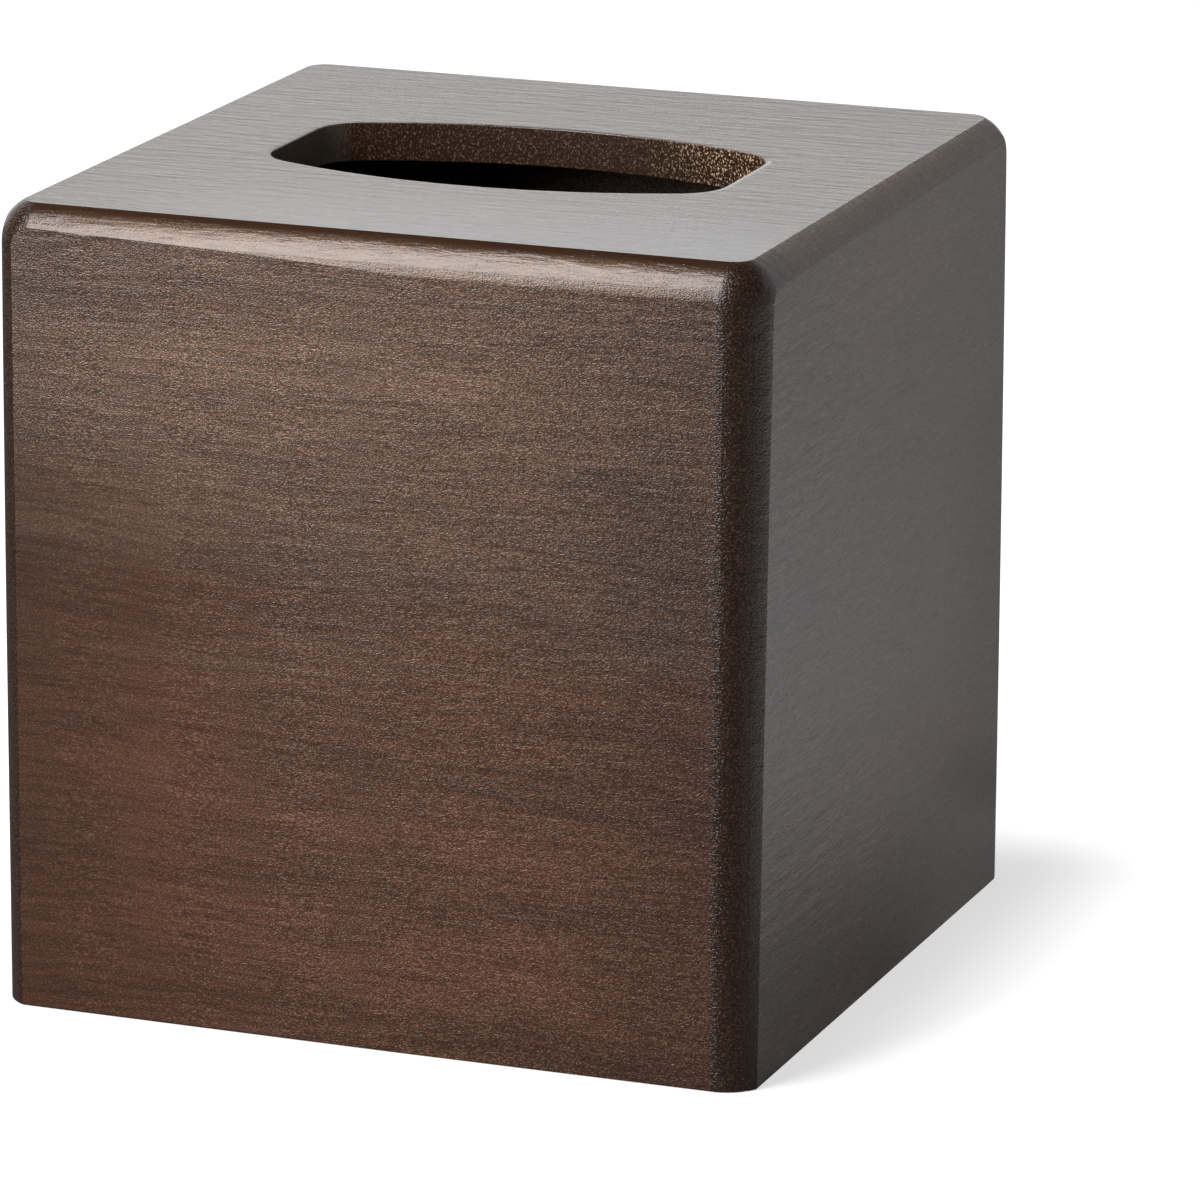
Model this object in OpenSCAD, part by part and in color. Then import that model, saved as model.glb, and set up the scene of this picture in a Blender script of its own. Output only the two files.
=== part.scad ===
// Drop-over cover for a cube-shaped tissue box: four mitred side boards carry a top board
// with a bowed slot. The cover has no floor, so it is lowered over the box and stands on its rim.
// Z is up, the origin is the middle of the footprint, and the front board faces -Y.

/* [Box] */
// Outside width, left to right
box_w = 139.7; // [115:0.1:200]
// Outside depth, front to back
box_d = 139.7; // [90:0.1:200]
// Overall height
box_h = 142.24; // [80:0.01:240]

/* [Boards] */
// Thickness of the four side boards
side_t = 7; // [5:0.1:12]
// Thickness of the top board, as the slot shows it
top_t = 7; // [5:0.1:12]
// Thickness of the top board's lip, which lies on the side boards
lip_t = 4.5; // [2:0.1:4.9]
// Play round the top board's tongue, which the glue fills
glue_gap = 0.1; // [0.02:0.01:0.3]

/* [Rounded edges] */
// Radius of the rounding on the upright corners and along the top
edge_r = 8; // [5:0.1:12]
// Depth that the sides are sanded down after the rounding, which leaves a faint line beside it
side_sanding = 0.06; // [0:0.01:0.4]
// Depth that the top is sanded down after the rounding, which leaves a crisp line beside it
top_sanding = 0.88; // [0:0.01:1.4]

/* [Slot] */
// Length of the slot, left to right
slot_l = 83.8; // [60:0.1:95]
// Width of the slot at its middle, front to back
slot_w = 50.8; // [40:0.1:60]
// Radius of the slot's two bowed long sides
bow_r = 92; // [75:1:300]
// Radius of the slot's four corners
slot_corner_r = 9; // [3:0.1:12]
// Chamfer on the slot's edges, which keeps the tissues from snagging
slot_ease = 0.5; // [0.2:0.1:1.5]

/* [Hidden] */
// How far a cut runs past the faces that it opens
overrun = 1;
$fn = 96;

// Height of the side boards, from the rim to the seat of the lip
side_h = box_h - lip_t;
// Underside of the top board's tongue
under_z = box_h - top_t;
// Distance from a side, and from the top, to the centre of the rounding
round_in = edge_r - side_sanding;
round_down = edge_r - top_sanding;
// The quarters of the plan, each a quarter turn on from the last
QUARTERS = [[1, 1], [-1, 1], [-1, -1], [1, -1]];
// Distance from the middle of the slot to the centre of a bowed side
bow_y = bow_r - slot_w / 2;
// Centre of a slot corner's rounding, which meets the straight end and the bowed side
corner_x = slot_l / 2 - slot_corner_r;
corner_y = sqrt(pow(bow_r - slot_corner_r, 2) - pow(corner_x, 2)) - bow_y;
// Direction from that centre to the point where the rounding meets the bowed side
corner_turn = atan2(corner_y + bow_y, corner_x);
// The rounding is this much fuller than one that only touches, so it crosses both cleanly
corner_fullness = 0.05;

// Section of the wood that the rounding takes off a top edge, with the edge at the origin
module edge_waste() {
    difference() {
        translate([-round_in, -round_down]) square([round_in + overrun, round_down + overrun]);
        translate([-round_in, -round_down]) circle(r = edge_r);
    }
}

// Wood outside the rounding of an upright corner, with the top of the sharp corner at the origin
module corner_waste() {
    side = round_in + overrun;
    difference() {
        translate([-round_in, -round_in, -box_h - overrun]) cube([side, side, box_h + 2 * overrun]);
        translate([-round_in, -round_in, -round_down]) {
            sphere(r = edge_r);
            mirror([0, 0, 1]) cylinder(r = edge_r, h = box_h + overrun);
        }
    }
}

// Outer shape of the glued-up cover, solid inside
module outer_form() {
    difference() {
        linear_extrude(box_h) polygon([for (q = QUARTERS) [q[0] * box_w / 2, q[1] * box_d / 2]]);
        for (k = [0:3]) {
            reach = k % 2 == 0 ? box_d / 2 : box_w / 2;
            length = k % 2 == 0 ? box_w : box_d;
            rotate(90 * k) translate([0, reach, box_h]) rotate([90, 0, 90])
                linear_extrude(length + 2 * overrun, center = true) edge_waste();
        }
        for (k = [0:3])
            translate([QUARTERS[k][0] * box_w / 2, QUARTERS[k][1] * box_d / 2, box_h])
                rotate(90 * k) corner_waste();
    }
}

// Side board of a given length with its ends mitred at 45 degrees, its outer face at a given
// reach in front of the middle, turned into its place
module side_board(turn, length, reach) {
    end = length / 2;
    intersection() {
        outer_form();
        rotate(turn) translate([0, -reach, 0]) linear_extrude(side_h)
            polygon([[-end, 0], [end, 0], [end - side_t, side_t], [side_t - end, side_t]]);
    }
}

// The slot's outline between two heights, grown outward by its own amount at each height
module slot_form(low, high, low_grow, high_grow) {
    h = high - low;
    end = slot_l / 2;
    span = slot_w + 2 * (slot_ease + overrun);
    reach = 2 * slot_corner_r;
    sector = [[0, 0], [reach, 0], [reach, reach], reach * [cos(corner_turn), sin(corner_turn)]];
    full_r = slot_corner_r + corner_fullness;
    difference() {
        intersection() {
            bow_side(-bow_y, low, h, low_grow, high_grow);
            bow_side(bow_y, low, h, low_grow, high_grow);
            rotate([90, 0, 0]) linear_extrude(span, center = true)
                polygon([[-end - low_grow, low], [end + low_grow, low],
                         [end + high_grow, high], [-end - high_grow, high]]);
        }
        for (q = QUARTERS)
            translate([q[0] * corner_x, q[1] * corner_y, low])
                difference() {
                    translate([0, 0, -overrun]) linear_extrude(h + 2 * overrun)
                        polygon([for (p = sector) [q[0] * p[0], q[1] * p[1]]]);
                    cylinder(r1 = full_r + low_grow, r2 = full_r + high_grow, h = h);
                }
    }
}

// Disc or cone that bounds one bowed side of the slot
module bow_side(y, low, h, low_grow, high_grow) {
    translate([0, y, low]) cylinder(r1 = bow_r + low_grow, r2 = bow_r + high_grow, h = h);
}

// The slot right through the top board, with a chamfer cut along both its edges
module slot() {
    mouth = slot_ease + overrun;
    slot_form(under_z - overrun, box_h + overrun, 0, 0);
    slot_form(box_h - mouth, box_h + overrun, -overrun, mouth);
    slot_form(under_z - overrun, under_z + mouth, mouth, -overrun);
}

// Top board: its rebated edge leaves a lip that lies on the side boards and a tongue between them
module top_board() {
    tongue_w = box_w - 2 * (side_t + glue_gap);
    tongue_d = box_d - 2 * (side_t + glue_gap);
    color("#6e5546") difference() {
        intersection() {
            outer_form();
            union() {
                translate([-box_w / 2, -box_d / 2, side_h]) cube([box_w, box_d, lip_t + overrun]);
                translate([-tongue_w / 2, -tongue_d / 2, under_z])
                    cube([tongue_w, tongue_d, top_t + overrun]);
            }
        }
        slot();
    }
}

module front_board() {
    color("#5e4438") side_board(0, box_w, box_d / 2);
}

module back_board() {
    color("#5a4136") side_board(180, box_w, box_d / 2);
}

module left_board() {
    color("#503a30") side_board(270, box_d, box_w / 2);
}

module right_board() {
    color("#4d3a33") side_board(90, box_d, box_w / 2);
}

top_board();
front_board();
back_board();
left_board();
right_board();
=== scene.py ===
# %% [markdown]
# # A stained wooden tissue box cover
# The cover is a glued box of five boards: four mitred sides and a top board with a bowed slot.
# This lesson models it as a cabinet maker would build it. A block with rounded edges comes
# first, its faces are sanded down a little, and then it is divided into its boards.

# %% Load the measured model
import math
from types import SimpleNamespace
import bmesh
import bpy
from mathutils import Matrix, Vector


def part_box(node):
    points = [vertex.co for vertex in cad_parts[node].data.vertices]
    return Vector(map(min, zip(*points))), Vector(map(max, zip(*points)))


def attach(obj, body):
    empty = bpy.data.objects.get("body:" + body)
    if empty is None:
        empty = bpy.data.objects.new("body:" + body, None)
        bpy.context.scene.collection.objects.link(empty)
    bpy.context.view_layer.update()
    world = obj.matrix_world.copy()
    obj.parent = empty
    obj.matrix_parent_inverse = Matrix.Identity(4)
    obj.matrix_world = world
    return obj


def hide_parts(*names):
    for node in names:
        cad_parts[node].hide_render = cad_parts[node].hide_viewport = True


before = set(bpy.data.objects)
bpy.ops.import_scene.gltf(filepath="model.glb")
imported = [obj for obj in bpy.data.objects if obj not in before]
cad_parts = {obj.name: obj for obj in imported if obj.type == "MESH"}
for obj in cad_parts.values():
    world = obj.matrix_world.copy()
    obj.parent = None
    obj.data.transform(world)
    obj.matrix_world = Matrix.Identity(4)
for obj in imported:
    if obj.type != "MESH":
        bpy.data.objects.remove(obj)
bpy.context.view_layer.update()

# %% [markdown]
# ## Sizes
# The overall sizes and the thickness of the boards are read from the measured model, so that
# the two agree. Blender counts in metres, and MM makes the small sizes easy to read.

# %% Read the sizes
MM = 0.001
front_low, front_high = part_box("front_board")
right_low, right_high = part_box("right_board")
top_low, top_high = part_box("top_board")
box_w = 2 * right_high.x
box_d = -2 * front_low.y
box_h = top_high.z
side_t = front_high.y - front_low.y
seat_z = front_high.z
under_z = top_low.z
print(f"cover {box_w:.4f} x {box_d:.4f} x {box_h:.4f} m, side boards {side_t:.4f} m thick")

# %% [markdown]
# ## Camera
# A product photograph of a small object is taken from a little over a metre away with a long
# lens, so that its upright edges stay nearly upright. The sensor's width is the frame's longer
# side, and the lens gives the width of view. The camera isn't shifted, so other views frame the
# cover alike.

# %% Place the camera
SENSOR_MM = 36
LENS_MM = 228.29
CAMERA_PLACE = (0.46803, -1.21561, 0.41367)
CAMERA_DEGREES = (74.9675, -0.2751, 20.4836)
camera_data = bpy.data.cameras.new("studio_camera")
camera_data.sensor_width = SENSOR_MM
camera_data.lens = LENS_MM
camera = bpy.data.objects.new("studio_camera", camera_data)
camera.location = CAMERA_PLACE
camera.rotation_euler = [math.radians(a) for a in CAMERA_DEGREES]
bpy.context.scene.collection.objects.link(camera)
bpy.context.scene.camera = camera
print("camera", [round(c, 3) for c in camera.location], "lens", LENS_MM, "mm")

# %% [markdown]
# ## The block
# On the bench the box is glued up first, and a router rounds its upright and top edges in one
# go. A cube with its edges bevelled is the same thing. It is made a little oversize, because
# the faces are sanded down afterwards, which leaves a crisp line beside each rounding.

# %% Glue up and round the block
edge_r = 8 * MM
side_sanding = 0.06 * MM
top_sanding = 0.88 * MM
ROUND_STEPS = 30


def rounded_block():
    """The block after the router, with the sanding still to come off its faces."""
    block = bmesh.new()
    bmesh.ops.create_cube(block, size=1)
    size = (box_w + 2 * side_sanding, box_d + 2 * side_sanding, box_h + top_sanding)
    bmesh.ops.scale(block, vec=size, verts=block.verts)
    bmesh.ops.translate(block, vec=(0, 0, size[2] / 2), verts=block.verts)
    to_round = [e for e in block.edges if max(v.co.z for v in e.verts) > box_h / 2]
    bmesh.ops.bevel(block, geom=to_round, offset=edge_r, segments=ROUND_STEPS, profile=0.5,
                    affect="EDGES", material=-1)
    return block


block = rounded_block()
print("rounded block:", len(block.faces), "faces")

# %% [markdown]
# ## Sanding
# A belt sander takes each face down. The first pass is true and brings the face to its place in
# the measured model. Slicing the block with a plane and closing the cut with a new flat face
# does the same. The top gets only this pass, so it comes first.

# %% Sand the top true
def slice_off(bm, point, normal):
    """Cuts off what lies beyond a plane and closes the cut with one flat face."""
    everything = bm.verts[:] + bm.edges[:] + bm.faces[:]
    bmesh.ops.bisect_plane(bm, geom=everything, dist=1e-8, plane_co=point, plane_no=normal,
                           clear_outer=True)
    rim = [e for e in bm.edges if e.is_boundary]
    if rim:
        bmesh.ops.holes_fill(bm, edges=rim, sides=0)


slice_off(block, (0, 0, box_h), (0, 0, 1))
print("top sanded, block:", len(block.faces), "faces")

# %% [markdown]
# The four sides differ only in the way that they face. A helper gives a side's directions and
# measures, so that one recipe serves them all.

# %% Name the sides
SIDES = {"front_board": (0, -1, 0), "back_board": (0, 1, 0),
         "left_board": (-1, 0, 0), "right_board": (1, 0, 0)}


def side_frame(outward):
    """A side's outward and level directions, its distance from the middle and half its width."""
    outward = Vector(outward)
    along = Vector((-outward.y, outward.x, 0))
    reach = abs(outward.x) * box_w / 2 + abs(outward.y) * box_d / 2
    half = abs(along.x) * box_w / 2 + abs(along.y) * box_d / 2
    return outward, along, reach, half


print("sides:", ", ".join(SIDES))

# %% [markdown]
# By hand a sander never runs quite true, and the line beside the rounding wanders. So after the
# true pass one or two tilted planes cut each side. A plane is set by the depth that it takes
# off at three places: the left end of the face low and high up, and its right end low. A
# negative depth lies outside the wood, so a tilted plane may touch only one corner of a face.

# %% Sand the sides true and then by hand
SANDED = {"front_board": [(0.80, 0.80, -0.72)],
          "back_board": [(0.20, 0.45, -0.10)],
          "left_board": [(-0.05, 1.80, -0.05)],
          "right_board": [(1.00, 0.15, -0.10), (-1.30, 0.15, -0.05)]}


def sand_side(bm, side, left_low, left_high, right_low):
    """Sands one side by three depths in mm. Left and right are as seen from outside."""
    outward, along, reach, half = side_frame(side)

    def spot(share, height, depth):
        return along * half * share + outward * (reach - depth * MM) + Vector((0, 0, height))

    low = spot(-1, 0, left_low)
    high = spot(-1, box_h, left_high)
    end = spot(1, 0, right_low)
    normal = (end - low).cross(high - low).normalized()
    if normal.dot(outward) < 0:
        normal.negate()
    slice_off(bm, low, normal)


for name, side in SIDES.items():
    outward, along, reach, half = side_frame(side)
    slice_off(block, outward * reach, outward)
    for depths in SANDED[name]:
        sand_side(block, side, *depths)
    print(name, "sanded, depths in mm:", *SANDED[name])

# %% [markdown]
# ## Finishing a board
# Glued joints show as hairlines, because the arrises of the boards are eased by less than a
# tenth of a millimetre. A narrow bevel does that. The faces of the roundings are shaded smooth,
# and an edge stays crisp where the surface turns by more than a few degrees.

# %% Ease and finish a board
CREASE = math.radians(3.5)
SHARP = math.radians(40)


def ease(bm, edges, width, steps):
    """Rounds a few sharp edges over and returns the new narrow faces."""
    made = bmesh.ops.bevel(bm, geom=edges, offset=width, segments=steps, profile=0.5,
                           affect="EDGES", material=-1)
    return set(made["faces"])


def finished_piece(bm, name, eased):
    """Shades the roundings smooth and the creases crisp, and puts the piece in the scene."""
    bmesh.ops.recalc_face_normals(bm, faces=bm.faces)
    for face in bm.faces:
        face.smooth = True
    for edge in bm.edges:
        soft = all(face in eased for face in edge.link_faces)
        edge.smooth = soft or edge.calc_face_angle(math.pi) < CREASE
    mesh = bpy.data.meshes.new(name)
    bm.to_mesh(mesh)
    bm.free()
    piece = bpy.data.objects.new(name, mesh)
    bpy.context.scene.collection.objects.link(piece)
    print(name, len(mesh.polygons), "faces")
    return piece


print("an edge stays crisp from", round(math.degrees(CREASE), 1), "degrees")

# %% [markdown]
# ## The side boards
# The four side boards meet in 45 degree mitres and stop under the lip of the top board. Each is
# cut from a copy of the block, so the rounding runs over the joints without a step. The seam
# under the lip is the tightest, and the rim that stands on the table is eased the most.

# %% Cut the side boards
joint_ease = 0.07 * MM
seat_ease = 0.02 * MM
rim_ease = 0.3 * MM
TOUCHING = 1e-6


def side_piece(name, side):
    """One side board between its two mitres."""
    board = block.copy()
    outward, along, reach, half = side_frame(side)
    slice_off(board, (0, 0, seat_z), (0, 0, 1))
    slice_off(board, outward * (reach - side_t), -outward)
    for end in (-1, 1):
        corner = outward * reach + along * half * end
        slice_off(board, corner, along * end - outward)
    rim = [e for e in board.edges if all(v.co.z < TOUCHING for v in e.verts)]
    eased = ease(board, rim, rim_ease, 3)
    for at_seat, width in ((False, joint_ease), (True, seat_ease)):
        sharp = [e for e in board.edges if e.calc_face_angle(0) > SHARP
                 and not all(v.co.z < 2 * rim_ease for v in e.verts)
                 and at_seat == all(v.co.z > seat_z - joint_ease for v in e.verts)]
        eased = {f for f in eased if f.is_valid} | ease(board, sharp, width, 2)
    return finished_piece(board, name.replace("_board", "_side"), eased)


pieces = {name: side_piece(name, side) for name, side in SIDES.items()}

# %% [markdown]
# ## The slot's outline
# A template for the slot is drawn with a compass: two long bowed sides, two short straight
# ends, and a rounding in each corner. One quarter is spun from a single point about the two
# centres, and mirroring it twice closes the outline.

# %% Draw the slot's outline
slot_l = 83.8 * MM
slot_w = 50.8 * MM
bow_r = 92 * MM
slot_corner_r = 9 * MM
BOW_STEPS = 14
CORNER_STEPS = 10
WELD = 1e-7


def slot_outline(bm, height):
    """Draws the closed outline at a height and returns its edges."""
    bow_y = bow_r - slot_w / 2
    corner_x = slot_l / 2 - slot_corner_r
    corner_y = math.sqrt((bow_r - slot_corner_r) ** 2 - corner_x ** 2) - bow_y
    bow_turn = math.atan2(corner_x, corner_y + bow_y)
    start = bm.verts.new((0, slot_w / 2, height))
    bmesh.ops.spin(bm, geom=[start], cent=(0, -bow_y, height), axis=(0, 0, -1),
                   angle=bow_turn, steps=BOW_STEPS)
    tip = max(bm.verts, key=lambda v: v.co.x)
    bmesh.ops.spin(bm, geom=[tip], cent=(corner_x, corner_y, height), axis=(0, 0, -1),
                   angle=math.pi / 2 - bow_turn, steps=CORNER_STEPS)
    tip = min(bm.verts, key=lambda v: v.co.y)
    print("slot end", [round(c / MM, 2) for c in tip.co], "mm")
    end = bmesh.ops.extrude_vert_indiv(bm, verts=[tip])["verts"][0]
    end.co.y = 0
    for axis in "XY":
        everything = bm.verts[:] + bm.edges[:]
        bmesh.ops.mirror(bm, geom=everything, axis=axis, merge_dist=WELD)
    bmesh.ops.remove_doubles(bm, verts=bm.verts, dist=WELD)
    return bm.edges[:]


print("slot", round(slot_l / MM, 1), "x", round(slot_w / MM, 1), "mm")

# %% [markdown]
# ## The slot's wall and the tongue's wall
# The slot is sawn straight through the board, and sandpaper rolls the surface off a little
# towards its edge. Extruding the outline upwards in two steps gives the wall and the roll-off.
# The tongue is the low block under the top board that drops between the sides and keeps them
# square. Only its walls are needed here, so its flat faces are taken off again.

# %% Draw up the walls
tongue_play = 0.1 * MM
slot_roll = (1.0 * MM, 0.072 * MM)
LEVEL = 0.999


def without_flats(bm):
    """Takes the level faces off and keeps their edges."""
    flats = [f for f in bm.faces if abs(f.normal.z) > LEVEL]
    bmesh.ops.delete(bm, geom=flats, context="FACES_ONLY")
    return bm


def slot_wall_faces():
    """The slot's wall from the underside to the roll-off beside its upper edge."""
    slot = bmesh.new()
    ring = slot_outline(slot, under_z)
    width, drop = slot_roll
    for rise, grow in ((box_h - under_z - drop, 0), (drop, width)):
        made = bmesh.ops.extrude_edge_only(slot, edges=ring)["geom"]
        lifted = [v for v in made if isinstance(v, bmesh.types.BMVert)]
        ring = [e for e in made if isinstance(e, bmesh.types.BMEdge)]
        bmesh.ops.scale(slot, vec=(1 + 2 * grow / slot_l, 1 + 2 * grow / slot_w, 1), verts=lifted)
        bmesh.ops.translate(slot, vec=(0, 0, rise), verts=lifted)
    return slot


def tongue_wall_faces():
    """The four walls of the tongue, with a little play for glue all round."""
    tongue = bmesh.new()
    bmesh.ops.create_cube(tongue, size=1)
    inset = 2 * (side_t + tongue_play)
    size = (box_w - inset, box_d - inset, seat_z - under_z)
    bmesh.ops.scale(tongue, vec=size, verts=tongue.verts)
    bmesh.ops.translate(tongue, vec=(0, 0, (seat_z + under_z) / 2), verts=tongue.verts)
    return without_flats(tongue)


walls = [slot_wall_faces(), tongue_wall_faces()]
print("walls:", [len(wall.faces) for wall in walls], "faces")

# %% [markdown]
# ## The top board
# The top board has a rebated edge: a lip lies on the side boards, and the tongue drops between
# them. The lip's rounded edge is cut from the block, the two walls are put beside it, and flat
# faces close the board between them. The slot's edge is eased a little more than the joints, so
# that it doesn't catch the tissues.

# %% Build the top board
slot_ease = 0.2 * MM
STEEP = math.radians(60)


def closed_rings(bm, height):
    """The edges of every open outline at a height."""
    return [e for e in bm.edges if e.is_boundary and
            all(abs(v.co.z - height) < TOUCHING for v in e.verts)]


def is_slot_edge(edge):
    """Tells the slot's two sharp outlines from the other edges."""
    near = all(abs(v.co.x) < slot_l / 2 + MM and abs(v.co.y) < slot_w / 2 + MM
               for v in edge.verts)
    return near and edge.calc_face_angle(0) > STEEP


def top_piece():
    """The top board from its rounded lip, the slot's wall and the tongue's wall."""
    lip = block.copy()
    slice_off(lip, (0, 0, seat_z), (0, 0, -1))
    without_flats(lip)
    for wall in walls:
        mesh = bpy.data.meshes.new("wall")
        wall.to_mesh(mesh)
        lip.from_mesh(mesh)
        bpy.data.meshes.remove(mesh)
        wall.free()
    for height, up in ((box_h, 1), (seat_z, -1), (under_z, -1)):
        bmesh.ops.triangle_fill(lip, use_beauty=True, edges=closed_rings(lip, height),
                                normal=(0, 0, up))
    bmesh.ops.recalc_face_normals(lip, faces=lip.faces)
    eased = ease(lip, [e for e in lip.edges if is_slot_edge(e)], slot_ease, 4)
    sharp = [e for e in lip.edges if e.calc_face_angle(0) > SHARP]
    eased |= ease(lip, sharp, seat_ease, 2)
    return finished_piece(lip, "top_with_slot", {f for f in eased if f.is_valid})


pieces["top_board"] = top_piece()
block.free()

# %% [markdown]
# ## A look at the joinery
# A board is a closed solid. An open edge would be a hole in it, and its volume tells whether
# the faces point outwards, so both are measured.

# %% Check that the boards are closed
for piece in pieces.values():
    check = bmesh.new()
    check.from_mesh(piece.data)
    open_edges = [e for e in check.edges if not e.is_manifold]
    volume = round(check.calc_volume() / MM ** 3)
    print(piece.name, "open edges", len(open_edges), "volume", volume, "cubic mm")
    check.free()

# %% [markdown]
# ## Stained wood
# The cover is a pale, close-grained wood with a dark walnut stain and a satin lacquer. A solid
# pattern suits it, because the figure then runs over the edges as real wood does: long streaks
# on the faces become dots where the fibres are cut across. A node tree is a recipe, and these
# helpers write its lines: add a node, blend two colours, or reckon with values.

# %% Helpers for the node trees
def add(tree, kind, inputs=(), **settings):
    """Adds a node, sets its properties and its inputs, which are values or other sockets."""
    node = tree.nodes.new(kind)
    for key, value in settings.items():
        setattr(node, key, value)
    for key, value in dict(inputs).items():
        if isinstance(value, bpy.types.NodeSocket):
            tree.links.new(value, node.inputs[key])
        else:
            node.inputs[key].default_value = value
    return node


def maths(tree, kind, first, second=0.0, third=0.0):
    """A sum, product or other step on two or three values."""
    return add(tree, "ShaderNodeMath", {0: first, 1: second, 2: third}, operation=kind).outputs[0]


def product(tree, first, *others):
    """Multiplies values one after the other."""
    for value in others:
        first = maths(tree, "MULTIPLY", first, value)
    return first


def vector_maths(tree, kind, first, second=(0, 0, 0), third=(0, 0, 0)):
    """The same for vectors. Of the two sockets the last is a length or a dot product."""
    outputs = add(tree, "ShaderNodeVectorMath", {0: first, 1: second, 2: third},
                  operation=kind).outputs
    return outputs["Value" if kind in ("LENGTH", "DOT_PRODUCT") else "Vector"]


def apart(tree, vector):
    """The X, Y and Z of a vector."""
    outputs = add(tree, "ShaderNodeSeparateXYZ", {0: vector}).outputs
    return outputs["X"], outputs["Y"], outputs["Z"]


def blend_colour(tree, share, first, second, kind="MIX"):
    """Mixes two colours by a share, or multiplies them."""
    node = add(tree, "ShaderNodeMix", {0: share, 6: first, 7: second}, data_type="RGBA",
               blend_type=kind)
    return node.outputs[2]


def new_recipe(owner):
    """Empties the node tree of a material or world and returns it."""
    owner.use_nodes = True
    owner.node_tree.nodes.clear()
    return owner.node_tree


print("helpers for recipes are ready")

# %% [markdown]
# Two helpers do most of the work. Noise that is stretched along the grain gives streaks, and
# spread() turns a stretch of any value into a soft mask or a soft change of strength. Its four
# numbers are where the change starts and ends, and what it gives there.

# %% Helpers for patterns and masks
def stretched_noise(tree, place, scale, detail=2.0, roughness=0.5, shift=(0, 0, 0),
                    colour=False):
    """Noise with its own number of cells per mm along, across and into the grain."""
    stretch = add(tree, "ShaderNodeMapping", {"Vector": place, "Scale": scale, "Location": shift})
    noise = add(tree, "ShaderNodeTexNoise", {"Vector": stretch.outputs[0], "Scale": 1.0,
                                             "Detail": detail, "Roughness": roughness})
    return noise.outputs["Color" if colour else "Fac"]


def spread(tree, value, low, high, to_low=0.0, to_high=1.0):
    """Spreads a value between two limits softly over a new range."""
    node = add(tree, "ShaderNodeMapRange", {"Value": value, "From Min": low, "From Max": high,
                                            "To Min": to_low, "To Max": to_high},
               interpolation_type="SMOOTHSTEP")
    return node.outputs[0]


print("helpers for patterns and masks are ready")

# %% [markdown]
# ### Where a point lies in its board
# Every mark on the wood depends on its place in the board or on the way that the surface faces.
# The place is measured in mm in the piece's own coordinates and turned, so that X runs along
# the grain. The grain leans by about half a degree, as on a real board. Where a mark has to
# stay plumb, upright takes the lean out again.

# %% Find the place and the facing
TO_MM = (1000, 1000, 1000)
GRAIN_LEAN = math.radians(-0.6)
LEAN_PER_MM = 0.0105


def lie_of_board(tree, turn):
    """The place in mm with X along the grain, and the directions that the surface faces."""
    coordinates = add(tree, "ShaderNodeTexCoord").outputs["Object"]
    place = add(tree, "ShaderNodeMapping", {"Vector": coordinates, "Scale": TO_MM,
                                            "Rotation": (0, GRAIN_LEAN, turn)}).outputs[0]
    x, y, z = apart(tree, place)
    normal = add(tree, "ShaderNodeNewGeometry").outputs["Normal"]
    right, back, up = apart(tree, normal)
    grain_way = (abs(math.cos(turn)), abs(math.sin(turn)), 0)
    across = maths(tree, "ABSOLUTE", vector_maths(tree, "DOT_PRODUCT", normal, grain_way))
    upright = maths(tree, "MULTIPLY_ADD", z, LEAN_PER_MM, x)
    return SimpleNamespace(place=place, x=x, y=y, z=z, right=right, back=back, up=up,
                           across=across, upright=upright)


print("the grain leans by", round(math.degrees(GRAIN_LEAN), 1), "degrees")

# %% [markdown]
# ### The grain
# Broad level zones and patches are the wood's own figure. Fine streaks and short dark pores are
# where the stain settled, and the raised grain breaks the surface into tiny flecks, whose light
# and dark are partly painted glints. Each is a stretched noise, and a slow sway keeps the long
# ones from running dead straight. The low left part of a board was rubbed smoother, which calm
# tells, and there calm also softens the painted glints of the flecks.

# %% Lay out the grain
SWAY_MM = (0, 9, 9)


def grain_of(tree, lie):
    """The noises that the finish is made of, from the broadest to the finest."""
    sway = stretched_noise(tree, lie.place, (0.014, 0.03, 0.03), colour=True)
    centred = vector_maths(tree, "SUBTRACT", sway, (0.5, 0.5, 0.5))
    swayed = vector_maths(tree, "MULTIPLY_ADD", centred, SWAY_MM, lie.place)
    return SimpleNamespace(
        zones=stretched_noise(tree, swayed, (0.004, 0.04, 0.04), 3),
        patches=stretched_noise(tree, swayed, (0.016, 0.11, 0.11), 3, shift=(7, 3, 1)),
        ridges=stretched_noise(tree, lie.place, (0.08, 0.50, 0.50), 3, 0.6, shift=(3, 8, 5)),
        streaks=stretched_noise(tree, swayed, (0.04, 0.9, 0.9), 4, 0.6),
        fibres=stretched_noise(tree, swayed, (0.22, 2.2, 2.2), 3, 0.6),
        pores=stretched_noise(tree, swayed, (0.28, 4.2, 4.2), 2, shift=(2, 9, 4)),
        flecks=stretched_noise(tree, lie.place, (2.6, 4.6, 4.6), 1),
        calm=product(tree, spread(tree, lie.x, -60, -8, 1.0, 0.0),
                     spread(tree, lie.z, 88, 106, 1.0, 0.0)))


print("long streaks sway over", max(SWAY_MM), "mm")

# %% [markdown]
# ### The stain on the faces
# The stain is a brown that turns redder lower down. The patches and zones shift the height of
# the change, by the drifts in mm, so that it is uneven. Painted light and shade make the colour
# darker towards the ends and the foot of a board and paler towards its top. Each layer of the
# grain then makes it a little darker or paler, and painted glints sit on the tips of the raised
# grain.

# %% Stain the faces and paint their light and shade
BROWN = (0.084, 0.044, 0.027, 1)
RED_BROWN = (0.100, 0.041, 0.022, 1)
PAINTED_FLECK_GLINT = (0.240, 0.145, 0.095, 1)
PATCH_DRIFT = 60
ZONE_DRIFT = 40
RED_FADE = 12


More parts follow.
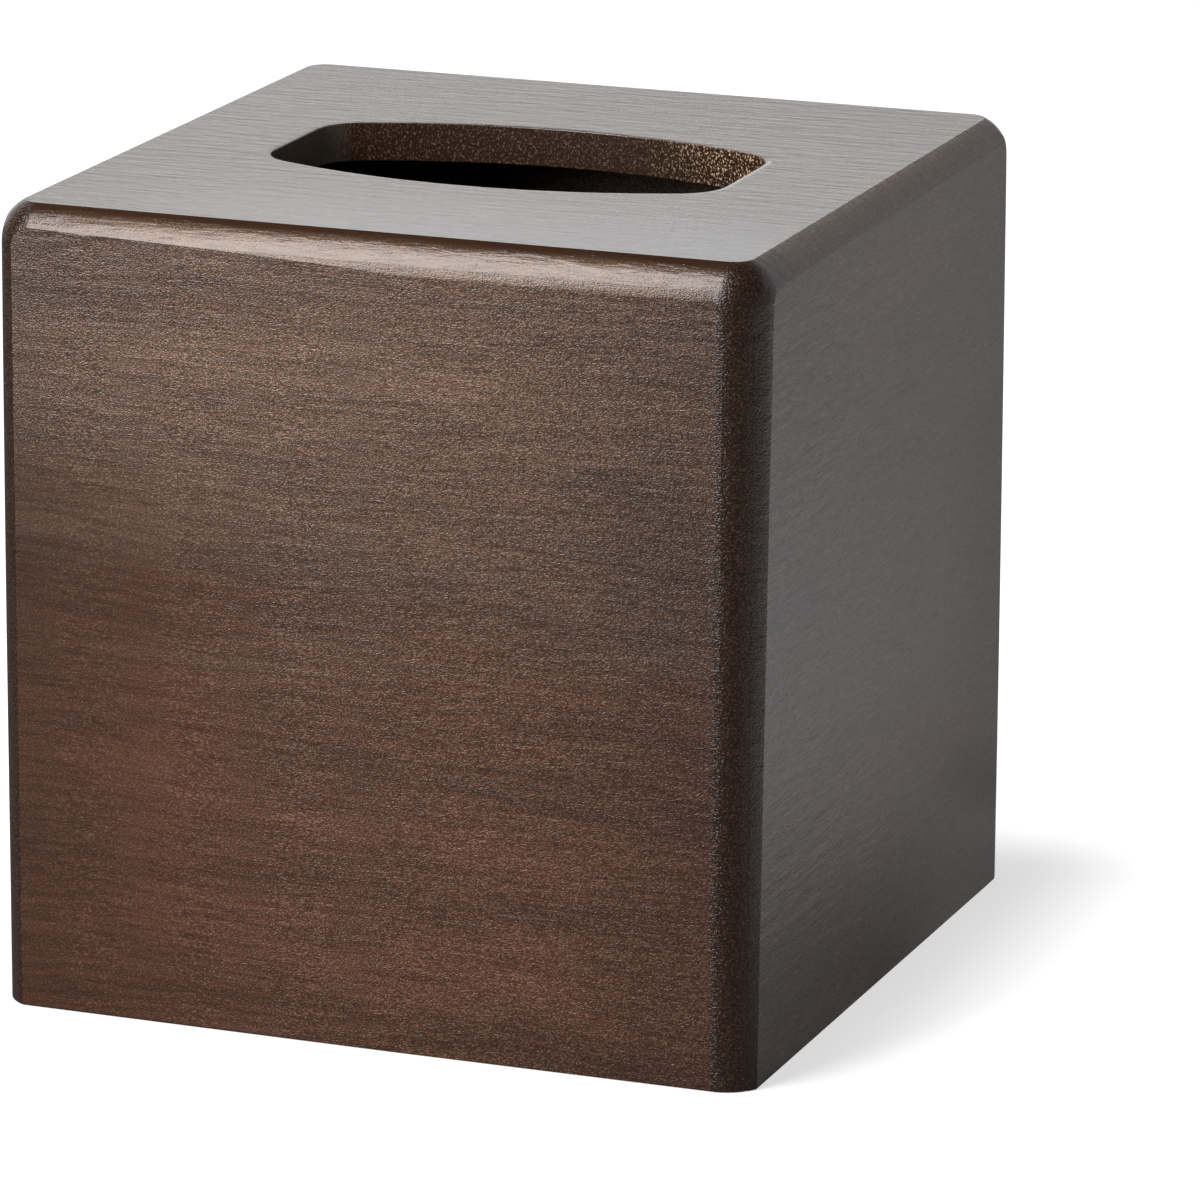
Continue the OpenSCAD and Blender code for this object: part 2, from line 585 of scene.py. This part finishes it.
def stain_and_painted_light(tree, lie, grain, red_below, coarse):
    """The colour of the faces, with painted light, shade and glints. red_below is the height in mm
    under which the wood is redder, and coarse is 1 where the grain opens up towards the right
    end of the board."""
    drift = maths(tree, "MULTIPLY_ADD", grain.patches, PATCH_DRIFT, lie.z)
    drift = maths(tree, "MULTIPLY_ADD", grain.zones, ZONE_DRIFT, drift)
    middle = red_below + (PATCH_DRIFT + ZONE_DRIFT) / 2
    redness = spread(tree, drift, middle + RED_FADE, middle - RED_FADE)
    colour = blend_colour(tree, redness, BROWN, RED_BROWN)
    # Painted light and shade: darker towards the ends and the foot and paler towards the top,
    # standing in for the lamp's sheen and the shade near the table.
    to_end = maths(tree, "ABSOLUTE", maths(tree, "ADD", lie.x, 6))
    grain_and_painted_light = product(tree, spread(tree, to_end, 21, 70, 1.05, 0.70),
                    spread(tree, lie.z, 2, 34, 0.94, 1.0),
                    spread(tree, lie.z, 75, 135, 1.0, 1.38))
    open_grain = spread(tree, lie.x, -30, 50, 1.07, 1.07 + 0.25 * coarse)
    dark_grain = spread(tree, lie.x, -30, 50, 0.92, 0.92 - 0.25 * coarse)
    # The flecks' light and dark are partly painted glints, softer where calm is.
    faint = maths(tree, "MULTIPLY_ADD", grain.calm, 0.18, 0.60)
    bold = maths(tree, "MULTIPLY_ADD", grain.calm, -0.14, 1.16)
    for layer, low, high, at_low, at_high in ((grain.zones, 0.40, 0.60, 0.84, 1.07),
                                              (grain.patches, 0.38, 0.62, 0.95, 1.05),
                                              (grain.streaks, 0.40, 0.62, 1.06, 0.80),
                                              (grain.fibres, 0.36, 0.64, open_grain, dark_grain),
                                              (grain.pores, 0.60, 0.66, 1.0, 0.65),
                                              (grain.flecks, 0.36, 0.62, faint, bold)):
        grain_and_painted_light = product(tree, grain_and_painted_light, spread(tree, layer, low, high, at_low, at_high))
    # Painted glints: the highest flecks take a pale colour that stands in for the lamp's glints.
    painted_glints = spread(tree, grain.flecks, 0.54, 0.72, 0.0, 0.5)
    colour = blend_colour(tree, painted_glints, colour, PAINTED_FLECK_GLINT)
    return blend_colour(tree, 1.0, colour, grain_and_painted_light, "MULTIPLY")


print("stain from", BROWN[:3], "to", RED_BROWN[:3])

# %% [markdown]
# Every board takes the stain a little differently, which is its tone. On the top, the level
# face is darker than its rounded edge, and a pale grey painted sheen lies at its front right.

# %% Set the tone and paint the sheen
PAINTED_SHEEN_GREY = (0.230, 0.225, 0.225, 1)


def toned_with_painted_sheen(tree, lie, colour, tone, level_tone, cupped_and_sheened):
    """The faces' colour with the tone of the board and of its level face, and the painted sheen.
    """
    colour = blend_colour(tree, 1.0, colour, (tone, tone, tone, 1), "MULTIPLY")
    level = spread(tree, lie.up, 0.5, 0.9, 1.0, level_tone)
    colour = blend_colour(tree, 1.0, colour, level, "MULTIPLY")
    # Painted sheen: a pale grey over the front right of the top's level face.
    painted_sheen = product(tree, spread(tree, lie.y, -20, -60), spread(tree, lie.x, -70, -10),
                    spread(tree, lie.up, 0.9, 0.95, 0.0, 0.5 * cupped_and_sheened))
    return blend_colour(tree, painted_sheen, colour, PAINTED_SHEEN_GREY)


# The grey printed here is the painted sheen.
print("haze", PAINTED_SHEEN_GREY[:3])

# %% [markdown]
# ### Stain and painted light on the edges
# On a rounding that runs along the fibres, the stain is rubbed off again, and a painted highlight
# is added, so the front edge of the top is a pale warm band. Above it a dark line beside the
# crease is painted shade with some gathered stain. The height of the surface's own direction,
# from level to straight up, tells where on the rounding a point lies.

# %% Rub the stain off the long edges and paint their light and shade
RUBBED_WOOD_AND_HIGHLIGHT = (0.165, 0.090, 0.050, 1)
CREASE_SHADE_AND_STAIN = (0.034, 0.013, 0.005, 1)


def rubbed_edges(tree, lie, grain, colour):
    """The colour with the pale band, partly painted highlight, the dark line of painted shade, and
    the mask of the band.
    """
    # The pale band is worn wood and a painted highlight where the soft box mirrors in the
    # rounding.
    rubbed = product(tree, spread(tree, lie.up, 0.05, 0.30),
                     spread(tree, lie.up, 0.55, 0.85, 1.0, 0.0),
                     spread(tree, maths(tree, "ABSOLUTE", lie.back), 0.15, 0.5),
                     spread(tree, maths(tree, "ABSOLUTE", lie.x), 40, 66, 1.0, 0.3),
                     spread(tree, grain.fibres, 0.36, 0.62, 1.0, 0.25))
    # The dark line in the crease is painted shade, with some gathered stain.
    crease_shade_and_stain = product(tree, spread(tree, lie.up, 0.70, 0.84),
                       spread(tree, lie.up, 0.93, 0.99, 1.0, 0.0))
    colour = blend_colour(tree, rubbed, colour, RUBBED_WOOD_AND_HIGHLIGHT)
    return blend_colour(tree, crease_shade_and_stain, colour, CREASE_SHADE_AND_STAIN), rubbed


# The colours printed are the band with its painted highlight and the line of painted shade.
print("rubbed", RUBBED_WOOD_AND_HIGHLIGHT[:3], "crease_shade_and_stain", CREASE_SHADE_AND_STAIN[:3])

# %% [markdown]
# Where the fibres are cut across, the wood soaks the stain up and turns almost black, with
# paler dots between the pores. That is the end grain at the corners and at the top's ends, and
# it shows as soon as the surface turns to face along the grain. On the front board the stain
# also crept a little way in over the flat, up to a plumb line.

# %% Soak the end grain
SOAKED = (0.016, 0.007, 0.004, 1)
SOAKED_DOT = (0.060, 0.030, 0.018, 1)
MOST_SOAKED = 0.95


def soaked_ends(tree, lie, colour, end_tone, soaked_from):
    """The colour with its end grain, the mask of the end grain and its dots. end_tone makes it
    paler at the right end, and soaked_from is the distance in mm where the plumb line stands."""
    soaked = maths(tree, "MAXIMUM", spread(tree, lie.across, 0.03, 0.12),
                   spread(tree, lie.upright, soaked_from, soaked_from + 1.6))
    soaked = product(tree, soaked, MOST_SOAKED)
    dots = stretched_noise(tree, lie.place, (2.2, 3.6, 3.6), 1, shift=(5, 5, 5))
    end_colour = blend_colour(tree, spread(tree, dots, 0.50, 0.64), SOAKED, SOAKED_DOT)
    paler = product(tree, spread(tree, lie.x, 0, 1), spread(tree, lie.y, -64, -46))
    paler = maths(tree, "MULTIPLY_ADD", paler, end_tone - 1, 1.0)
    end_colour = blend_colour(tree, 1.0, end_colour, paler, "MULTIPLY")
    return blend_colour(tree, soaked, colour, end_colour), soaked, dots


print("end grain", SOAKED[:3], "its dots", SOAKED_DOT[:3])

# %% [markdown]
# ### The slot
# Sandpaper rolled the wood off beside the slot, and the strip along its front and right, which
# turns back and to the left, is painted pale as a highlight line. Inside, the sawn wall is nearly
# black and rough. Its left end carries a painted grey sheen, and towards the right painted glints
# sit on its beads of lacquer. The masks read the place and the facing together, so they pick out
# the slot's wall and nothing else.

# %% Colour the slot
# The edge's pale line is a painted highlight, the wall's grey at its left end a painted sheen, and
# the pale bead colour painted glints.
PAINTED_EDGE_HIGHLIGHT = (0.330, 0.290, 0.250, 1)
SAWN_WALL = (0.026, 0.011, 0.005, 1)
PAINTED_WALL_SHEEN = (0.120, 0.102, 0.085, 1)
PAINTED_BEAD_GLINT = (0.740, 0.520, 0.350, 1)
WALL_HEIGHTS = (134, 135)
half_l = slot_l / 2 / MM
half_w = slot_w / 2 / MM


def coloured_slot(tree, lie, colour):
    """The colour with the slot's painted edge highlight and its wall with painted sheen and
    glints, the wall's mask and its beads.
    """
    # Painted highlight: a pale line on the rolled strip that turns back and to the left.
    painted_edge_highlight = product(tree, spread(tree, lie.up, 0.985, 0.990),
                     spread(tree, maths(tree, "SUBTRACT", lie.back, lie.right), 0.02, 0.05))
    colour = blend_colour(tree, painted_edge_highlight, colour, PAINTED_EDGE_HIGHLIGHT)
    from_middle = maths(tree, "ABSOLUTE", lie.upright)
    from_axis = maths(tree, "ABSOLUTE", lie.y)
    in_slot = product(tree, spread(tree, from_middle, half_l + 0.7, half_l + 1.3, 1, 0),
                      spread(tree, from_axis, half_w + 0.6, half_w + 1.2, 1, 0),
                      spread(tree, lie.up, 0.3, 0.8, 1.0, 0.0),
                      spread(tree, lie.z, *WALL_HEIGHTS))
    beads = stretched_noise(tree, lie.place, (3.2, 3.2, 2.3), 1)
    # Painted glints on the beads towards the right.
    painted_bead_glints = product(tree, spread(tree, lie.x, 10, 34, 0.14, 1.0),
                      spread(tree, beads, 0.52, 0.73))
    # Painted sheen: a grey on the left end of the wall.
    painted_wall_sheen = product(tree, spread(tree, lie.across, 0.5, 1.0), spread(tree, lie.x, -1, 0, 1, 0))
    wall = blend_colour(tree, painted_wall_sheen, SAWN_WALL, PAINTED_WALL_SHEEN)
    wall = blend_colour(tree, painted_bead_glints, wall, PAINTED_BEAD_GLINT)
    return blend_colour(tree, in_slot, colour, wall), in_slot, beads


# The edge colour printed here is a painted highlight.
print("slot's wall", SAWN_WALL[:3], "its worn edge", PAINTED_EDGE_HIGHLIGHT[:3])

# %% [markdown]
# ### The relief
# The lacquer follows the wood under it, but softly. So there are two reliefs. The lacquer's
# carries the broad waves and the fibres, and the wood's adds stronger flecks and the slot's
# rough beads. Heights are in mm. The top board is also cupped: it turns up a little towards its
# front and back, most at the front, which bends the reflection in it. Drawn as relief, the cup
# leaves the shape of the board true.

# %% Raise the relief
FIBRE_HEIGHT = 0.03
RUBBED_FIBRE_HEIGHT = 0.07
DOT_HEIGHT = 0.16
CUP_BEND = 0.00036
CUP_TILT = -0.0085
CALMED = 0.65


def relief(tree, lie, grain, edges, cupped_and_sheened, coarse):
    """The directions of the lacquer's surface and of the wood's under it."""
    def plus(height, value, strength):
        return maths(tree, "MULTIPLY_ADD", value, strength, height)

    def bump_of(height):
        return add(tree, "ShaderNodeBump", {"Height": height, "Distance": MM,
                                            "Strength": 1.0}).outputs[0]

    wave = 0.12 + 0.14 * cupped_and_sheened
    height = product(tree, grain.flecks, 0.09 - 0.05 * cupped_and_sheened)
    height = plus(height, product(tree, edges.dots, edges.soaked), DOT_HEIGHT)
    height = plus(height, grain.fibres, FIBRE_HEIGHT)
    height = plus(height, product(tree, grain.fibres, edges.rubbed), RUBBED_FIBRE_HEIGHT)
    height = plus(height, grain.streaks, 0.06 + 0.03 * cupped_and_sheened)
    height = plus(height, grain.ridges, spread(tree, lie.x, -30, 50, wave, wave + 0.18 * coarse))
    cup = product(tree, lie.y, lie.y, CUP_BEND)
    cup = product(tree, plus(cup, lie.y, CUP_TILT), spread(tree, lie.x, -70, 20, 0.3, 1.0))
    rough = maths(tree, "MULTIPLY_ADD", grain.calm, -CALMED, 1.0)
    height = product(tree, plus(height, cup, cupped_and_sheened),
                     spread(tree, edges.in_slot, 0, 1, 1.0, 0.25), rough)
    lacquer = bump_of(height)
    beaded = product(tree, edges.in_slot, spread(tree, lie.x, 8, 34, 0.10, 0.50))
    height = plus(height, edges.beads, beaded)
    height = plus(height, product(tree, grain.flecks, rough), 0.11 - 0.11 * cupped_and_sheened)
    return lacquer, bump_of(height)


print("dots in the end grain are", DOT_HEIGHT, "mm high")

# %% [markdown]
# ### One board's finish
# The steps are put together in the order of the workshop: the wood and its stain with painted
# light, shade and glints, the rubbed and soaked edges, the slot, and the lacquer over all. A
# satin lacquer is a clear coat with a slightly rough surface, over wood that has hardly any
# shine of its own.

# %% Stain and lacquer a board
LACQUER = {"Coat Weight": 1.0, "Coat Roughness": 0.16, "Coat IOR": 1.45}
WOOD_SHINE = 0.1


def stained_wood(name, turn, tone=1.0, level_tone=1.0, red_below=0.0, cupped_and_sheened=0.0, end_tone=1.0,
                 soaked_from=900.0, coarse=0.0):
    """One board's wood. turn brings the grain to X, and tone and level_tone make the board or
    its level face darker. cupped is 1 for the top board, which is bent into a cup and carries a
    painted sheen, and the other values are told at the steps that use them."""
    material = bpy.data.materials.new(name)
    tree = new_recipe(material)
    lie = lie_of_board(tree, turn)
    grain = grain_of(tree, lie)
    edges = SimpleNamespace()
    colour = stain_and_painted_light(tree, lie, grain, red_below, coarse)
    colour = toned_with_painted_sheen(tree, lie, colour, tone, level_tone, cupped_and_sheened)
    colour, edges.rubbed = rubbed_edges(tree, lie, grain, colour)
    colour, edges.soaked, edges.dots = soaked_ends(tree, lie, colour, end_tone, soaked_from)
    colour, edges.in_slot, edges.beads = coloured_slot(tree, lie, colour)
    lacquer, bare_wood = relief(tree, lie, grain, edges, cupped_and_sheened, coarse)
    roughness = spread(tree, grain.fibres, 0.3, 0.7, 0.40, 0.52)
    shader = add(tree, "ShaderNodeBsdfPrincipled", {"Base Color": colour,
                                                    "Roughness": roughness,
                                                    "Specular IOR Level": WOOD_SHINE,
                                                    "Normal": bare_wood,
                                                    "Coat Normal": lacquer, **LACQUER})
    add(tree, "ShaderNodeOutputMaterial", {"Surface": shader.outputs[0]})
    print(name, len(tree.nodes), "nodes")
    return material


# %% [markdown]
# ### The five boards
# Each board is a different stretch of wood. The grain runs level round the four sides and from
# left to right over the top, so on the left and right boards it is turned by a quarter.

# %% Finish the boards
QUARTER = math.radians(90)
WOODS = {"top_board": dict(turn=0.0, level_tone=0.60, cupped_and_sheened=1.0, end_tone=4.0),
         "front_board": dict(turn=0.0, red_below=72, soaked_from=60.9),
         "back_board": dict(turn=0.0, tone=0.95, red_below=40),
         "left_board": dict(turn=QUARTER, tone=0.92, red_below=95),
         "right_board": dict(turn=QUARTER, tone=1.15, red_below=60, coarse=1.0)}
for name, piece in pieces.items():
    piece.data.materials.append(stained_wood(name.replace("board", "wood"), **WOODS[name]))
    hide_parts(name)
    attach(piece, "root")
print(len(pieces), "boards finished")

# %% [markdown]
# ## The table
# The cover stands on a plain pale sheet, a hair below its rim, so that the two never lie in
# one plane.

# %% Lay the sheet
SHEET_HALF = 6
SHEET_DROP = 0.05 * MM
sheet_mesh = bpy.data.meshes.new("table_sheet")
sheet_bm = bmesh.new()
bmesh.ops.create_grid(sheet_bm, x_segments=1, y_segments=1, size=SHEET_HALF)
bmesh.ops.translate(sheet_bm, vec=(0, 0, -SHEET_DROP), verts=sheet_bm.verts)
sheet_bm.to_mesh(sheet_mesh)
sheet_bm.free()
sheet = bpy.data.objects.new("table_sheet", sheet_mesh)
bpy.context.scene.collection.objects.link(sheet)
print("sheet", 2 * SHEET_HALF, "m square")

# %% [markdown]
# The sheet's own colour is a light grey, so that it doesn't throw a glare back at the wood, and
# for the camera it is lifted to white. It keeps the cover's shadow, because only part of what
# the camera sees of it is added light. Close to the cover the lift is weaker, as in the soft
# shade round any object that stands on a table.

# %% Lift the sheet to white for the camera
SHADE_REACH = 0.035
SHADE_LIFT = 0.64
paper = bpy.data.materials.new("pale_paper")
paper_tree = new_recipe(paper)
rays = add(paper_tree, "ShaderNodeLightPath").outputs
spot = add(paper_tree, "ShaderNodeTexCoord").outputs["Object"]
spot_x, spot_y, spot_z = apart(paper_tree, spot)
beside = vector_maths(paper_tree, "SUBTRACT", vector_maths(paper_tree, "ABSOLUTE", spot),
                      (box_w / 2, box_d / 2, 0))
reach = vector_maths(paper_tree, "LENGTH", vector_maths(paper_tree, "MAXIMUM", beside))
seen = maths(paper_tree, "MAXIMUM", rays["Is Camera Ray"], rays["Is Transmission Ray"])
lift = product(paper_tree, seen, spread(paper_tree, reach, 0.0, SHADE_REACH, SHADE_LIFT, 1.0))
print("white from", SHADE_REACH, "m beside the cover")

# %% [markdown]
# The lacquer mirrors the sheet, and in a studio that mirror image is shaped with cards. Here
# the lift that a mirrored ray sees is drawn on the sheet. The near part lies to the right of
# the cover and behind a slanting line, which aside measures, and it brightens away from the
# cover. Each upright column of the right face mirrors its own line over the sheet: column
# numbers these lines, from the front end of the face to its back end.

# %% Draw the near part of the mirror image
COLUMN_SLANT = -2.61
ASIDE_SLANT = 0.45


def sheet_spread(value, low, high, to_low=0.0, to_high=1.0):
    """spread() on the sheet."""
    return spread(paper_tree, value, low, high, to_low, to_high)


column = maths(paper_tree, "MULTIPLY_ADD", spot_x, COLUMN_SLANT, spot_y)
aside = maths(paper_tree, "MULTIPLY_ADD", spot_x, ASIDE_SLANT, spot_y)
near = product(paper_tree, sheet_spread(reach, 0, 0.10, 0.12, 0.33),
               sheet_spread(aside, -0.07, -0.01), sheet_spread(spot_x, -0.04, 0.04))
print("near part drawn")

# %% [markdown]
# Along a column, the foot of the face mirrors the sheet next to the cover, and the upper part
# mirrors the sheet further off, so a change across the sheet becomes a change with height on
# the face. At the front end of the face the image is bright halfway up and falls off above and
# below. At the back end it is darker, apart from its foot. Far behind the cover the sheet is
# bright again, like the backdrop that rises there, for reflections that leave the wood almost
# level.

# %% Shape the mirror image and add the far part
at_front_end = product(paper_tree, sheet_spread(spot_x, 0.105, 0.14, 1.1, 2.4),
                       sheet_spread(spot_x, 0.14, 0.18, 1.0, 1.25),
                       sheet_spread(spot_x, 0.19, 0.28, 1.0, 0.48))
at_back_end = sheet_spread(spot_x, 0.16, 0.28, 0.74, 0.90)
at_back_foot = sheet_spread(reach, 0.02, 0.06, 2.4, 1.0)
near = product(paper_tree, near, sheet_spread(column, -0.24, -0.16, at_front_end, 1.0),
               sheet_spread(column, -0.17, -0.13, 1.0, at_back_end),
               sheet_spread(column, -0.18, -0.13, 1.0, at_back_foot))
far = product(paper_tree, sheet_spread(spot_y, 0.55, 1.0),
              sheet_spread(spot_x, -0.25, 0.05, 1.0, 0.30))
mirrored = product(paper_tree, rays["Is Glossy Ray"], maths(paper_tree, "MAXIMUM", near, far))
lift = maths(paper_tree, "MAXIMUM", lift, mirrored)
print("sheet's recipe:", len(paper_tree.nodes), "nodes")

# %% [markdown]
# The sheet itself is matt, and the lift is added to it as a soft glow. For a mirrored ray its
# grey is darker, so that the lamp's light on it doesn't wash the drawn image out.

# %% Finish the sheet
PALE_GREY = (0.45, 0.45, 0.45, 1)
MIRRORED_GREY = (0.12, 0.12, 0.12, 1)
WHITE = (1, 1, 1, 1)
grey = blend_colour(paper_tree, rays["Is Glossy Ray"], PALE_GREY, MIRRORED_GREY)
matt = add(paper_tree, "ShaderNodeBsdfDiffuse", {"Color": grey})
glow = add(paper_tree, "ShaderNodeEmission", {"Color": WHITE, "Strength": lift})
both = add(paper_tree, "ShaderNodeAddShader", {0: matt.outputs[0], 1: glow.outputs[0]})
add(paper_tree, "ShaderNodeOutputMaterial", {"Surface": both.outputs[0]})
sheet.data.materials.append(paper)
print("sheet finished")

# %% [markdown]
# ## The lamp
# One tall soft box stands at the front left and leans over the cover. It lights the front, and
# its reflection makes the bright line along the rounding of the top's front edge.

# %% Set the lamp
def soft_box(name, azimuth, elevation, distance, width, height, radiance):
    """A soft box that faces the middle of the cover. Azimuth 0 is in front, 90 to the right."""
    lamp = bpy.data.lights.new(name, "AREA")
    lamp.shape = "RECTANGLE"
    lamp.size = width
    lamp.size_y = height
    lamp.energy = radiance * math.pi * width * height
    holder = bpy.data.objects.new(name, lamp)
    turn, rise = math.radians(azimuth), math.radians(elevation)
    aim = Vector((0, 0, box_h / 2))
    toward = Vector((math.sin(turn) * math.cos(rise), -math.cos(turn) * math.cos(rise),
                     math.sin(rise)))
    holder.location = aim + toward * distance
    holder.rotation_euler = toward.to_track_quat("Z", "Y").to_euler()
    bpy.context.scene.collection.objects.link(holder)
    print(name, "at", [round(c, 2) for c in holder.location], "energy", round(lamp.energy, 1))
    return holder


soft_box("key_soft_box", azimuth=-27, elevation=35, distance=0.80, width=0.36, height=0.86,
         radiance=9.5)

# %% [markdown]
# ## The backdrop
# Behind the cover the backdrop is white up to eye level and dark above it, so the top shines
# evenly. Only mirrored rays see that white card. The camera sees plain white all round, and
# what falls on the wood from every side is a weak even light.

# %% Hang the backdrop
AMBIENT = 0.20
DARK_STUDIO = 0.02
world = bpy.data.worlds.new("studio")
bpy.context.scene.world = world
sky = new_recipe(world)
rays = add(sky, "ShaderNodeLightPath").outputs
direction = add(sky, "ShaderNodeTexCoord").outputs["Generated"]
way_x, way_y, way_z = apart(sky, direction)
white_card = product(sky, spread(sky, way_y, 0.25, 0.65), spread(sky, way_z, 0.45, 0.75, 1.0, 0.0),
                     spread(sky, way_x, -0.22, -0.06, 1.0, 0.42))
reflected = maths(sky, "MAXIMUM", rays["Is Glossy Ray"], rays["Is Transmission Ray"])
shown = product(sky, reflected, maths(sky, "ADD", white_card, DARK_STUDIO))
ambient = product(sky, maths(sky, "SUBTRACT", 1.0, reflected), AMBIENT)
strength = maths(sky, "MAXIMUM", maths(sky, "ADD", shown, ambient), rays["Is Camera Ray"])
backdrop = add(sky, "ShaderNodeBackground", {"Color": WHITE, "Strength": strength})
add(sky, "ShaderNodeOutputWorld", {"Surface": backdrop.outputs[0]})
bpy.context.scene.view_settings.view_transform = "Standard"
print("studio is lit")
